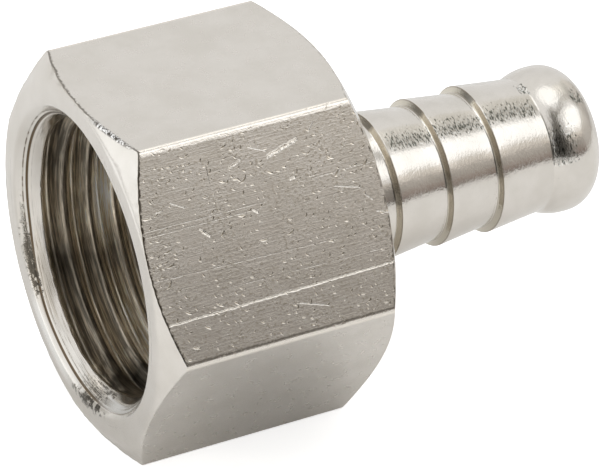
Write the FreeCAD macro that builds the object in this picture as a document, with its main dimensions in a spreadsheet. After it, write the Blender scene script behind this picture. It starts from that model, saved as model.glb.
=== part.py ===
import FreeCAD, Part
import math
import os
import Sketcher

# Hose tail: a hexagon end with a female parallel pipe thread, and a barbed spigot for a push-on hose.
# The real one is turned in one piece from hexagon brass bar and nickel plated, so it is one solid.
# Millimetres. The origin is the centre of the socket's mouth, +X runs along the axis to the hose end,
# and +Z is square to one flat of the hexagon, so that the opposite flat lies on the bench.

driving_sizes = {
    # hexagon
    "hex_across_flats": 24.0,       # spanner size
    "hex_length": 16.8,             # from the mouth to the shoulder behind the hexagon
    "hex_edge_round": 0.3,          # radius along the six long edges
    "chamfer_inset": 0.1,           # how far inside the flats the turned chamfer meets each end face
    "chamfer_angle": 30.0,          # between the chamfer and the end face, in degrees
    # socket: the plain bore is the crest of a G 1/2 thread
    "thread_crest_dia": 18.631,
    "thread_end": 11.5,             # from the mouth to the end of the threaded wall
    "countersink_reach": 1.13,      # how much wider than the thread's crest the mouth is, in radius
    "countersink_angle": 45.0,      # between the countersink and the axis, in degrees
    "relief_depth": 1.28,           # run-out groove behind the thread, just clear of its root
    "relief_width": 2.0,            # the groove ends at the flat floor that takes a washer
    # waterway drilled through the spigot
    "waterway_dia": 6.5,
    # neck and barbs
    "root_dia": 9.2,                # neck, and the low end of each barb
    "barb_count": 3,
    "barb_height": 0.45,            # above the root
    "first_barb_from_hex": 4.15,    # from the hexagon to the first barb's crest
    "barb_pitch": 3.8,
    "barb_step_slant": 0.2,         # how far each step leans over its height
    "barb_root_round": 0.2,         # fillet at the foot of each step
    # bead at the hose end
    "bead_from_last_barb": 4.0,     # from the last barb's crest to the foot of the bead
    "bead_height": 0.45,            # above the root
    "bead_shoulder": 1.77,          # length of the domed shoulder
    "bead_land": 0.3,               # short cylinder between the shoulder and the nose
    "nose_length": 2.0,             # rounded nose, from the land to the end face
    "nose_face_width": 0.15,        # flat ring left round the waterway
    # how far outside the bar a turning cut starts
    "tool_clearance": 1.0,
}

doc = FreeCAD.newDocument("HoseTail")

sizes = doc.addObject("Spreadsheet::Sheet", "Sizes")
for row, (name, value) in enumerate(driving_sizes.items(), start=1):
    sizes.set("A%d" % row, name)
    sizes.set("B%d" % row, str(value))
    sizes.setAlias("B%d" % row, name)
doc.recompute()


def size(name):
    return float(sizes.get(name))


body = doc.addObject("PartDesign::Body", "HoseTail")
body.Label = "hose_tail"


def origin_item(role):
    return [item for item in body.Origin.OriginFeatures if item.Role == role][0]


def new_sketch(name, plane):
    sketch = body.newObject("Sketcher::SketchObject", name)
    sketch.AttachmentSupport = [(origin_item(plane), "")]
    sketch.MapMode = "FlatFace"
    return sketch


def dimension(sketch, kind, refs, label, formula):
    # a named DistanceX or DistanceY, first as drawn and then bound to the sheet
    drawn = sketch.getPoint(refs[2], refs[3]) - sketch.getPoint(refs[0], refs[1])
    as_drawn = drawn.x if kind == "DistanceX" else drawn.y
    sketch.addConstraint(Sketcher.Constraint(kind, *refs, as_drawn))
    sketch.renameConstraint(sketch.ConstraintCount - 1, label)
    sketch.setExpression("Constraints." + label, formula)


def place_vertex(sketch, geo, end, label, along, radius):
    # along the axis from the mouth, and out from the axis; an empty formula means on that axis
    if along:
        dimension(sketch, "DistanceX", (-1, 1, geo, end), label + "_along", along)
    else:
        sketch.addConstraint(Sketcher.Constraint("PointOnObject", geo, end, -2))
    if radius:
        dimension(sketch, "DistanceY", (-1, 1, geo, end), label + "_radius", radius)
    else:
        sketch.addConstraint(Sketcher.Constraint("PointOnObject", geo, end, -1))


def join(sketch, geo, end, other_geo, other_end):
    sketch.addConstraint(Sketcher.Constraint("Coincident", geo, end, other_geo, other_end))


def straight_outline(sketch, corners):
    # a closed outline, drawn roughly and then dimensioned; corners are (label, along, radius)
    first = sketch.GeometryCount
    count = len(corners)
    turn = 2 * math.pi / count
    rough = [FreeCAD.Vector(20 + 10 * math.cos(k * turn), 20 + 10 * math.sin(k * turn), 0) for k in range(count)]
    for k in range(count):
        sketch.addGeometry(Part.LineSegment(rough[k], rough[(k + 1) % count]))
    for k in range(count):
        join(sketch, first + k, 2, first + (k + 1) % count, 1)
    for k, (label, along, radius) in enumerate(corners):
        place_vertex(sketch, first + k, 1, label, along, radius)


def rounded_corner(sketch, corner, size_name):
    # rounds the corner where this side of an outline starts; the corner keeps its dimensions
    doc.recompute()
    sketch.fillet(corner, 1, size(size_name), True, True)
    arc = [k for k in range(sketch.GeometryCount) if isinstance(sketch.Geometry[k], Part.ArcOfCircle)][-1]
    sketch.addConstraint(Sketcher.Constraint("Radius", arc, size(size_name)))
    label = "round_%d" % corner
    sketch.renameConstraint(sketch.ConstraintCount - 1, label)
    sketch.setExpression("Constraints." + label, "Sizes." + size_name)


def turned(kind, name, profile):
    # a full turn of the profile about the part's axis, adding or cutting
    feature = body.newObject(kind, name)
    feature.Profile = profile
    feature.ReferenceAxis = (profile, ["H_Axis"])
    feature.Angle = 360.0
    profile.Visibility = False
    return feature


def rounded(name, base, edges, size_name):
    fillet = body.newObject("PartDesign::Fillet", name)
    fillet.Base = (base, edges)
    fillet.Radius = size(size_name)
    fillet.setExpression("Radius", "Sizes." + size_name)
    return fillet


def lengthwise_edges(shape):
    found = []
    for number, edge in enumerate(shape.Edges, start=1):
        if isinstance(edge.Curve, Part.Line) and abs(edge.Curve.Direction.x) > 0.999:
            found.append("Edge%d" % number)
    return found


def recomputed_volume():
    doc.recompute()
    return body.Shape.Volume


# hexagon bar, one corner on each side and a flat on top and bottom
hexagon = new_sketch("HexagonSection", "YZ_Plane")
corner_radius = size("hex_across_flats") / math.sqrt(3)
corners = []
for k in range(6):
    angle = k * math.pi / 3
    corners.append(FreeCAD.Vector(corner_radius * math.cos(angle), corner_radius * math.sin(angle), 0))
for k in range(6):
    hexagon.addGeometry(Part.LineSegment(corners[k], corners[(k + 1) % 6]))
corner_circle = hexagon.addGeometry(Part.Circle(FreeCAD.Vector(), FreeCAD.Vector(0, 0, 1), corner_radius), True)
join(hexagon, corner_circle, 3, -1, 1)
for k in range(6):
    join(hexagon, k, 2, (k + 1) % 6, 1)
    hexagon.addConstraint(Sketcher.Constraint("PointOnObject", k, 1, corner_circle))
for k in range(1, 6):
    hexagon.addConstraint(Sketcher.Constraint("Equal", 0, k))
hexagon.addConstraint(Sketcher.Constraint("Horizontal", 1))
dimension(hexagon, "DistanceY", (4, 1, 1, 1), "across_flats", "Sizes.hex_across_flats")

bar = body.newObject("PartDesign::Pad", "HexagonBar")
bar.Profile = hexagon
bar.Length = size("hex_length")
bar.setExpression("Length", "Sizes.hex_length")
hexagon.Visibility = False
recomputed_volume()

long_edges = lengthwise_edges(bar.Shape)
rounded("LongEdgeRounds", bar, long_edges, "hex_edge_round")
bar_volume = recomputed_volume()

# turned chamfers on both ends of the hexagon
outside = "Sizes.hex_across_flats / sqrt(3) + Sizes.tool_clearance"
face_radius = "Sizes.hex_across_flats / 2 - Sizes.chamfer_inset"
chamfer_run = "(%s - (%s)) * tan(Sizes.chamfer_angle * 1 deg)" % (outside, face_radius)
chamfer_profile = new_sketch("EndChamferProfile", "XY_Plane")
straight_outline(chamfer_profile, [
    ("mouth_end_face", "", face_radius),
    ("mouth_end_out", "", outside),
    ("mouth_end_run", chamfer_run, outside),
])
straight_outline(chamfer_profile, [
    ("back_end_face", "Sizes.hex_length", face_radius),
    ("back_end_out", "Sizes.hex_length", outside),
    ("back_end_run", "Sizes.hex_length - " + chamfer_run, outside),
])
turned("PartDesign::Groove", "EndChamfers", chamfer_profile)
chamfered_volume = recomputed_volume()

# neck and barbs: each barb has its step towards the hexagon and its taper towards the hose end
root_radius = "Sizes.root_dia / 2"
crest_radius = "Sizes.root_dia / 2 + Sizes.barb_height"
first_crest = "Sizes.hex_length + Sizes.first_barb_from_hex"
bead_at = first_crest + " + (Sizes.barb_count - 1) * Sizes.barb_pitch + Sizes.bead_from_last_barb"
barb_corners = [
    ("back_on_axis", "Sizes.hex_length", ""),
    ("neck_start", "Sizes.hex_length", root_radius),
]
step_feet = []
for k in range(int(size("barb_count"))):
    crest_at = first_crest + " + %d * Sizes.barb_pitch" % k
    step_feet.append(len(barb_corners))
    barb_corners.append(("foot_%d" % k, crest_at + " - Sizes.barb_step_slant", root_radius))
    barb_corners.append(("crest_%d" % k, crest_at, crest_radius))
barb_corners.append(("last_taper_end", bead_at, root_radius))
barb_corners.append(("bead_on_axis", bead_at, ""))

barb_profile = new_sketch("BarbProfile", "XY_Plane")
straight_outline(barb_profile, barb_corners)
for foot in step_feet:
    rounded_corner(barb_profile, foot, "barb_root_round")
turned("PartDesign::Revolution", "NeckAndBarbs", barb_profile)
barbed_volume = recomputed_volume()

# bead: domed shoulder, short land and rounded nose
drawn_foot = body.Shape.BoundBox.XMax
drawn_root = size("root_dia") / 2
drawn_land = drawn_root + size("bead_height")
land_start = drawn_foot + size("bead_shoulder")
land_end = land_start + size("bead_land")
nose_end = land_end + size("nose_length")
foot_on_axis = FreeCAD.Vector(drawn_foot, 0, 0)
bead_foot = FreeCAD.Vector(drawn_foot, drawn_root, 0)
land_left = FreeCAD.Vector(land_start, drawn_land, 0)
land_right = FreeCAD.Vector(land_end, drawn_land, 0)
nose_corner = FreeCAD.Vector(nose_end, size("waterway_dia") / 2 + size("nose_face_width"), 0)
nose_on_axis = FreeCAD.Vector(nose_end, 0, 0)


def falling_arc(top, foot):
    # leaves its top level with the axis and falls to its foot, on either side
    run = foot.x - top.x
    drop = top.y - foot.y
    radius = (run * run + drop * drop) / (2 * drop)
    centre = FreeCAD.Vector(top.x, top.y - radius, 0)
    foot_angle = math.atan2(radius - drop, run)
    circle = Part.Circle(centre, FreeCAD.Vector(0, 0, 1), radius)
    return Part.ArcOfCircle(circle, min(foot_angle, math.pi / 2), max(foot_angle, math.pi / 2))


bead_profile = new_sketch("BeadProfile", "XY_Plane")
foot_line = bead_profile.addGeometry(Part.LineSegment(foot_on_axis, bead_foot))
shoulder_arc = bead_profile.addGeometry(falling_arc(land_left, bead_foot))
land_line = bead_profile.addGeometry(Part.LineSegment(land_left, land_right))
nose_arc = bead_profile.addGeometry(falling_arc(land_right, nose_corner))
face_line = bead_profile.addGeometry(Part.LineSegment(nose_corner, nose_on_axis))
axis_line = bead_profile.addGeometry(Part.LineSegment(nose_on_axis, foot_on_axis))

# arcs run anticlockwise, so each one starts at the end that lies further right
join(bead_profile, foot_line, 2, shoulder_arc, 2)
join(bead_profile, shoulder_arc, 1, land_line, 1)
join(bead_profile, land_line, 2, nose_arc, 2)
join(bead_profile, nose_arc, 1, face_line, 1)
join(bead_profile, face_line, 2, axis_line, 1)
join(bead_profile, axis_line, 2, foot_line, 1)
bead_profile.addConstraint(Sketcher.Constraint("Vertical", foot_line))
bead_profile.addConstraint(Sketcher.Constraint("Horizontal", land_line))
bead_profile.addConstraint(Sketcher.Constraint("Vertical", face_line))
bead_profile.addConstraint(Sketcher.Constraint("Vertical", shoulder_arc, 3, land_line, 1))
bead_profile.addConstraint(Sketcher.Constraint("Vertical", nose_arc, 3, land_line, 2))
bead_profile.addConstraint(Sketcher.Constraint("PointOnObject", axis_line, 1, -1))
place_vertex(bead_profile, axis_line, 2, "foot_on_axis", bead_at, "")
dimension(bead_profile, "DistanceY", (-1, 1, foot_line, 2), "foot_radius", root_radius)
dimension(bead_profile, "DistanceY", (foot_line, 2, land_line, 1), "bead_height", "Sizes.bead_height")
dimension(bead_profile, "DistanceX", (foot_line, 2, land_line, 1), "shoulder_length", "Sizes.bead_shoulder")
dimension(bead_profile, "DistanceX", (land_line, 1, land_line, 2), "land_length", "Sizes.bead_land")
dimension(bead_profile, "DistanceX", (land_line, 2, nose_arc, 1), "nose_length", "Sizes.nose_length")
nose_face_radius = "Sizes.waterway_dia / 2 + Sizes.nose_face_width"
dimension(bead_profile, "DistanceY", (-1, 1, nose_arc, 1), "nose_face_radius", nose_face_radius)
turned("PartDesign::Revolution", "Bead", bead_profile)
outside_volume = recomputed_volume()

# socket: countersunk mouth, plain bore at the thread's crest, relief groove and flat floor
thread_radius = "Sizes.thread_crest_dia / 2"
mouth_radius = thread_radius + " + Sizes.countersink_reach"
relief_radius = thread_radius + " + Sizes.relief_depth"
countersink_end = "Sizes.countersink_reach / tan(Sizes.countersink_angle * 1 deg)"
floor = "Sizes.thread_end + Sizes.relief_width"
socket_profile = new_sketch("SocketProfile", "XY_Plane")
straight_outline(socket_profile, [
    ("mouth_on_axis", "", ""),
    ("floor_on_axis", floor, ""),
    ("floor_rim", floor, relief_radius),
    ("relief_start", "Sizes.thread_end", relief_radius),
    ("thread_end", "Sizes.thread_end", thread_radius),
    ("thread_start", countersink_end, thread_radius),
    ("mouth_rim", "", mouth_radius),
])
turned("PartDesign::Groove", "Socket", socket_profile)
socket_volume = recomputed_volume()

# waterway, drilled from the socket's floor out through the nose
waterway_section = new_sketch("WaterwaySection", "YZ_Plane")
waterway_circle = waterway_section.addGeometry(
    Part.Circle(FreeCAD.Vector(), FreeCAD.Vector(0, 0, 1), size("waterway_dia") / 2))
join(waterway_section, waterway_circle, 3, -1, 1)
waterway_section.addConstraint(Sketcher.Constraint("Diameter", waterway_circle, size("waterway_dia")))
waterway_section.renameConstraint(waterway_section.ConstraintCount - 1, "waterway")
waterway_section.setExpression("Constraints.waterway", "Sizes.waterway_dia")
waterway = body.newObject("PartDesign::Pocket", "Waterway")
waterway.Profile = waterway_section
waterway.Type = "ThroughAll"
waterway.Reversed = True
waterway_section.Visibility = False
finished_volume = recomputed_volume()

# each step has to have added or removed metal
assert chamfered_volume < bar_volume, "the end chamfers cut nothing"
assert chamfered_volume < barbed_volume < outside_volume, "the spigot or its bead is missing"
assert finished_volume < socket_volume < outside_volume, "the socket or the waterway cut nothing"

for item in doc.Objects:
    assert "Invalid" not in item.State and "Error" not in item.State, item.Name + " failed"
assert not body.Shape.isNull() and body.Shape.isValid(), "the hose tail's solid is broken"
assert len(body.Shape.Solids) == 1, "the hose tail is not one solid"

os.makedirs("parts", exist_ok=True)
body.Shape.exportStep("parts/hose_tail.step")
print("hose_tail", round(finished_volume, 2), "mm3,", len(body.Shape.Faces), "faces")
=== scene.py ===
import bpy
import math
import numpy as np
from mathutils import Matrix, Vector, noise


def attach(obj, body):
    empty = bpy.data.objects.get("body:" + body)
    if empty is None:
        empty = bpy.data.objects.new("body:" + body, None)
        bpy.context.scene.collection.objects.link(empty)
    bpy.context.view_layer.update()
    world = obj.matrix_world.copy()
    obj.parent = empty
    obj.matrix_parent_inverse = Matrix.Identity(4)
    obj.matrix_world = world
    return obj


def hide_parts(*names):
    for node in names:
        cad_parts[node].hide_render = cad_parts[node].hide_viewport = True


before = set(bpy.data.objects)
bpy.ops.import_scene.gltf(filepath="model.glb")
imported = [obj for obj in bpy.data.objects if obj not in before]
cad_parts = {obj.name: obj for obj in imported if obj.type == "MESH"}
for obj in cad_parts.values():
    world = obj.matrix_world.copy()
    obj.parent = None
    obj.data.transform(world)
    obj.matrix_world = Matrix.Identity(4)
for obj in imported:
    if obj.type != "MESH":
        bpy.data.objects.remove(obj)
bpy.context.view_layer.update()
metres = 0.001      # everything below is written in millimetres and degrees
degree = math.radians(1)

for leftover in [item for item in bpy.data.objects if item.type in {"CAMERA", "LIGHT"}]:
    bpy.data.objects.remove(leftover)
scene = bpy.context.scene
scene.view_settings.view_transform = "Standard"

# where the photographer stood, measured from the hexagon's corners
photograph = {
    "width": 600,
    "height": 468,
    "azimuth": -27.25,
    "elevation": 33.17,
    "roll": 0.62,
    "aim": (11.0, 0.0, 0.0),
    "aside": -4.414,
    "upward": 0.775,
    "distance": 275.2,
    "focalPixels": 4209.3,
    "sensor": 36.0,
}


def addItem(name, data):
    item = bpy.data.objects.new(name, data)
    scene.collection.objects.link(item)
    return item


def towards(azimuth, elevation):
    # direction from the part: azimuth is measured from -Y towards +X
    turn, rise = azimuth * degree, elevation * degree
    return Vector((math.sin(turn) * math.cos(rise), -math.cos(turn) * math.cos(rise), math.sin(rise)))


def cameraAxes():
    back = towards(photograph["azimuth"], photograph["elevation"])
    azimuth, roll = photograph["azimuth"] * degree, photograph["roll"] * degree
    right = Vector((math.cos(azimuth), math.sin(azimuth), 0.0))
    up = back.cross(right)
    return right * math.cos(roll) + up * math.sin(roll), up * math.cos(roll) - right * math.sin(roll), back


def cameraPlace():
    right, up, back = cameraAxes()
    aim = Vector(photograph["aim"])
    return aim - right * photograph["aside"] - up * photograph["upward"] + back * photograph["distance"]


def makeCamera():
    lens = bpy.data.cameras.new("photoCamera")
    lens.sensor_width = photograph["sensor"]
    lens.lens = photograph["focalPixels"] / photograph["width"] * photograph["sensor"]
    lens.clip_start, lens.clip_end = 0.01, 20.0
    scene.camera = addItem("photoCamera", lens)
    turn = Matrix(cameraAxes()).transposed().to_4x4()
    scene.camera.matrix_world = Matrix.Translation(cameraPlace() * metres) @ turn


makeCamera()
print("camera placed")

# one closed skin of rings, from the mouth's rim outward, along the outside and back through the bore
hexagon = {
    "toFlat": 11.988,               # centre to flat, a hair inside the solid so that burrs can stand up
    "edgeRound": 0.38,
    "flatColumns": 72,
    "cornerColumns": 8,
    "length": 16.8,
    "faceRadius": 11.9,
    "chamferAngle": 30.0,
    "faceBlend": 0.8,               # radius that eases the front face into the chamfer
    "burrHeight": 0.010,
    "burrWander": 0.048,
    "wear": (0.6, 0.3, 1.0, 0.05, 0.6, 0.8),          # how marked each flat is
    "frontWear": (0.6, 0.85, 1.0, 0.0, 0.6, 0.8),     # and how nicked its front edge
    "wearEase": 18,
    # rows of the front face and chamfer as shares of the way out from a radius, of the flats and of the back
    "faceStart": 11.0,
    "faceRows": (0.0, 0.22, 0.40, 0.50, 0.58, 0.66, 0.74, 0.82, 0.90, 0.95, 0.985),
    "edgeRun": 0.12,
    "flatRows": 18,
    "backRows": (0.03, 0.12, 0.35, 0.65, 0.88, 0.97),
    "backRadii": (11.86, 11.7, 11.0, 10.0, 9.0),
}
socket = {
    "rimRadius": 10.4455,
    "rimRound": 0.42,
    "crestRadius": 9.3155,
    "rootRadius": 10.4775,
    "pitch": 1.814,
    "turns": 7,
    "flankAngle": 27.5,
    "veeExtra": 0.24,               # the flanks would meet this far outside the root
    "rootRound": 0.10,
    "crestRound": 0.05,
    "firstCut": 1.626,              # where the groove's middle starts, along the axis
    "startAngle": -125.0,
    "runIn": 0.16,                  # share of a turn over which the groove reaches its full depth
    "runInRise": 1.4,
    "threadStart": 1.66,
    "threadEnd": 11.5,
    "reliefRadius": 10.5955,
    "reliefEase": 0.12,
    "floor": 13.5,
    "longestRun": 3.0,
    "rowStep": 0.07,
    # rows of the countersink, close together where its tool lines are
    "coneRows": (1.61, 1.56, 1.51, 1.46, 1.40, 1.34, 1.27, 1.20, 1.13, 1.06, 0.98, 0.90, 0.82, 0.77, 0.73, 0.70,
                 0.66, 0.62, 0.59, 0.56, 0.525, 0.495, 0.465, 0.44, 0.415, 0.385, 0.355, 0.32, 0.28, 0.24),
    "innerEase": (1.52, 0.45),      # the countersink flattens out to the crest here, with this slope
    "cutWander": 0.07,
    "lineSlide": (-12.0, -55.0, 0.30),      # the tool lines run further out between these angles and beyond
    "lineStart": (-165.0, -125.0),          # and back in again here
    # tool lines: place, half width and depth
    "toolLines": ((0.44, 0.075, 0.020), (0.66, 0.100, 0.050), (0.88, 0.060, 0.012)),
}
spigot = {
    "rootRadius": 4.6,
    "crestRadius": 5.05,
    "crests": (20.95, 24.75, 28.55),
    "stepSlant": 0.2,
    "stepMiddle": 0.13,             # how far before the crest the shaded step lies, and half its width
    "stepHalf": 0.17,
    "footRound": 0.2,
    "crestRound": 0.07,
    "neckRound": 0.3,
    "neckStart": 8.4,
    "barbedBelow": 5.3,
    "beadFoot": 32.55,
    "beadShoulder": 1.77,
    "beadLand": 0.3,
    "noseLength": 2.0,
    "noseRadius": 3.4,
    "noseRows": 17,
    "boreRadius": 3.25,
    "boreEdge": 1.0,
    "longestRun": 0.9,
}
drawn, turned, threaded, barbed, scored = range(5)
chamfer = math.radians(hexagon["chamferAngle"])
flatLength = (hexagon["toFlat"] - hexagon["edgeRound"]) / math.cos(30 * degree)
arcLength = 60 * degree * hexagon["edgeRound"]
flatPitch = flatLength + arcLength      # from one flat to the next, round the bar


def smoothMax(first, second, blend):
    return 0.5 * (first + second + np.sqrt((first - second) ** 2 + blend ** 2))


def eased(share):
    share = np.clip(share, 0, 1)
    return share * share * (3 - 2 * share)


def spoke(angle, length):
    return Vector((math.cos(angle * degree), math.sin(angle * degree))) * length


def hexagonColumns():
    # for each column: angle, outline radius, distance to the nearest long edge and place around the bar
    points, toEdge, around = [], [], []
    for corner in range(6):
        centre, nextCentre = spoke(60 * corner, flatLength), spoke(60 * (corner + 1), flatLength)
        for step in range(hexagon["cornerColumns"]):
            turn = -30 + 60 * step / hexagon["cornerColumns"]
            points.append(centre + spoke(60 * corner + turn, hexagon["edgeRound"]))
            toEdge.append(abs(turn) * degree * hexagon["edgeRound"])
            around.append(corner * flatPitch + turn * degree * hexagon["edgeRound"])
        offset = spoke(60 * corner + 30, hexagon["edgeRound"])
        for step in range(hexagon["flatColumns"]):
            share = step / hexagon["flatColumns"]
            points.append((centre + offset).lerp(nextCentre + offset, share))
            toEdge.append(min(share, 1 - share) * flatLength + arcLength / 2)
            around.append(corner * flatPitch + share * flatLength + arcLength / 2)
    angles = np.unwrap([math.atan2(point.y, point.x) for point in points])
    return angles, np.array([point.length for point in points]), np.array(toEdge), np.array(around)


def wearAround(around, wear):
    # one value for each flat, easing over at the corners
    place = around / flatPitch - 0.5
    lower = np.floor(place).astype(int)
    share = np.clip((place - lower - 0.5) * hexagon["wearEase"] + 0.5, 0, 1)
    return np.array(wear)[lower % 6] * (1 - share) + np.array(wear)[(lower + 1) % 6] * share


def roundedPath(corners, arcSteps=5):
    # corners are (along, radius, rounding); every rounded corner becomes a short arc
    points = []
    for index, (along, radius, rounding) in enumerate(corners):
        here = Vector((along, radius))
        if rounding == 0 or index in (0, len(corners) - 1):
            points.append(here)
            continue
        before = (Vector(corners[index - 1][:2]) - here).normalized()
        after = (Vector(corners[index + 1][:2]) - here).normalized()
        opening = before.angle(after)
        reach = rounding / math.tan(opening / 2)
        centre = here + (before + after).normalized() * (rounding / math.sin(opening / 2))
        start, end = here + before * reach - centre, here + after * reach - centre
        for step in range(arcSteps + 1):
            arm = start.slerp(end, step / arcSteps) if 0 < step < arcSteps else (start, end)[step // arcSteps]
            points.append(centre + arm.normalized() * rounding)
    return points


def filled(points, longest):
    # long straight runs get points in between
    out = [points[0]]
    for before, after in zip(points, points[1:]):
        pieces = max(1, math.ceil((after - before).length / longest))
        out.extend(before.lerp(after, step / pieces) for step in range(1, pieces + 1))
    return out


def threadCut(along, angles):
    # outline of the helical groove at one place along the axis, for every column
    turnsDone = ((angles - socket["startAngle"] * degree) / (2 * math.pi)) % 1.0
    slope = 1 / math.tan(socket["flankAngle"] * degree)
    deepest = np.zeros_like(angles)
    for lap in range(socket["turns"]):
        turns = turnsDone + lap
        middle = socket["firstCut"] + socket["pitch"] * turns
        vee = socket["rootRadius"] + socket["veeExtra"] - np.abs(along - middle) * slope
        cut = -smoothMax(-vee, -socket["rootRadius"], socket["rootRound"])
        deepest = np.maximum(deepest, cut - (1 - eased(turns / socket["runIn"])) * socket["runInRise"])
    return deepest


def chamferAlong(radius):
    # place of the eased front face and chamfer for a given radius
    blend = hexagon["faceBlend"]
    reach = blend * math.tan(chamfer / 2)
    past = radius - (hexagon["faceRadius"] - reach)
    arcEnd = reach * (1 + math.cos(chamfer))
    arc = blend - np.sqrt(np.maximum(blend ** 2 - np.clip(past, 0, arcEnd) ** 2, 0))
    return np.where(past <= arcEnd, arc, (radius - hexagon["faceRadius"]) * math.tan(chamfer))


def edgeNoise(angles, frequency, seed):
    # the same on every run, and closed round the turn
    return np.array([noise.noise(Vector((math.cos(a) * frequency, math.sin(a) * frequency, seed))) for a in angles])


class Skin:
    def __init__(self):
        self.points, self.faces, self.paint, self.rows = [], [], [], []
        self.marks = {name: [] for name in ("frontEdge", "backEdge", "longEdge", "around", "wear", "frontWear",
                                            "pocket")}

    def ring(self, along, radius, angles, paint, **marks):
        self.rows.append((len(self.points), len(angles), paint))
        along, radius = np.broadcast_to(along, angles.shape), np.broadcast_to(radius, angles.shape)
        self.points.extend((a, r * math.cos(t), r * math.sin(t)) for a, r, t in zip(along, radius, angles))
        for name, values in self.marks.items():
            values.extend(np.broadcast_to(marks.get(name, 0.0), angles.shape).tolist())

    def close(self):
        # a band from every ring to the next and from the last to the first; some rings have half the columns
        side = hexagon["flatColumns"] + hexagon["cornerColumns"]
        sideStart = 2 * side + hexagon["cornerColumns"] // 2
        for (first, count, paint), (second, nextCount, _) in zip(self.rows, self.rows[1:] + self.rows[:1]):
            columns = min(count, nextCount)
            for j in range(columns):
                k = (j + 1) % columns
                here = (j, k) if count == columns else (2 * j, 2 * j + 1, (2 * j + 2) % count)
                there = (k, j) if nextCount == columns else ((2 * j + 2) % nextCount, 2 * j + 1, 2 * j)
                self.faces.append((*(first + column for column in here), *(second + column for column in there)))
                self.paint.append(scored if paint == drawn and sideStart <= j < sideStart + side else paint)


def spigotPath():
    # neck, barbs, bead and nose, and a little way into the bore
    root, crest, bore = spigot["rootRadius"], spigot["crestRadius"], spigot["boreRadius"]
    corners = [(hexagon["length"], spigot["neckStart"], 0), (hexagon["length"], root, spigot["neckRound"])]
    for place in spigot["crests"]:
        corners.append((place - spigot["stepSlant"], root, spigot["footRound"]))
        corners.append((place, crest, spigot["crestRound"]))
    corners.append((spigot["beadFoot"], root, 0.30))
    landStart = spigot["beadFoot"] + spigot["beadShoulder"]
    rise = crest - root
    shoulder = (spigot["beadShoulder"] ** 2 + rise ** 2) / (2 * rise)
    for step in range(1, 11):
        along = spigot["beadShoulder"] * (1 - step / 10)
        corners.append((landStart - along, crest - shoulder + math.sqrt(shoulder ** 2 - along ** 2), 0))
    landEnd = landStart + spigot["beadLand"]
    drop = crest - spigot["noseRadius"]
    nose = (spigot["noseLength"] ** 2 + drop ** 2) / (2 * drop)
    for step in range(spigot["noseRows"] + 1):
        turn = math.acos((nose - drop) / nose) * step / spigot["noseRows"]
        corners.append((landEnd + nose * math.sin(turn), crest - nose + nose * math.cos(turn), 0))
    tip = landEnd + spigot["noseLength"]
    return corners + [(tip, spigot["noseRadius"] - 0.02, 0), (tip, bore, 0.08), (tip - spigot["boreEdge"], bore, 0)]


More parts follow.
